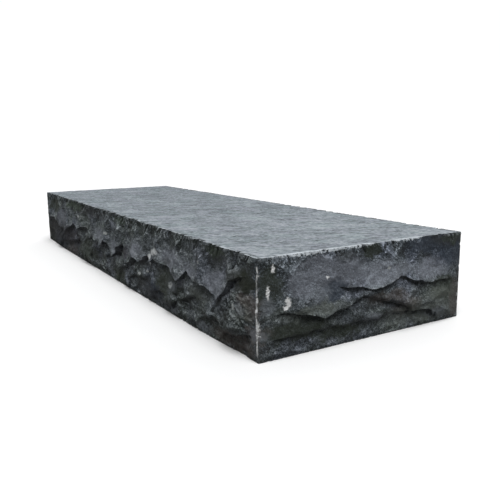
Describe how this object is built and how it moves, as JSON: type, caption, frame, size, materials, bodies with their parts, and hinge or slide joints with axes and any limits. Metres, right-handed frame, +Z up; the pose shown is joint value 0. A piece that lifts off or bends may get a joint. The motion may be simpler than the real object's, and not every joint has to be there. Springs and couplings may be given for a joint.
{
  "type": "basalt step block",
  "caption": "Solid dark basalt block step with a flat brushed tread and rock-faced split sides, laid in a row to build an outdoor stair.",
  "frame": {"origin": "middle of the bed, the flat underside that the block rests on", "axes": "+X along the length, +Y from the front face into the stair, +Z up from the bed to the tread"},
  "size_m": [1.2757, 0.426, 0.147],
  "materials": {
    "basalt": "matte"
  },
  "bodies": {
    "root": {"step_block": "basalt"}
  },
  "joints": []
}
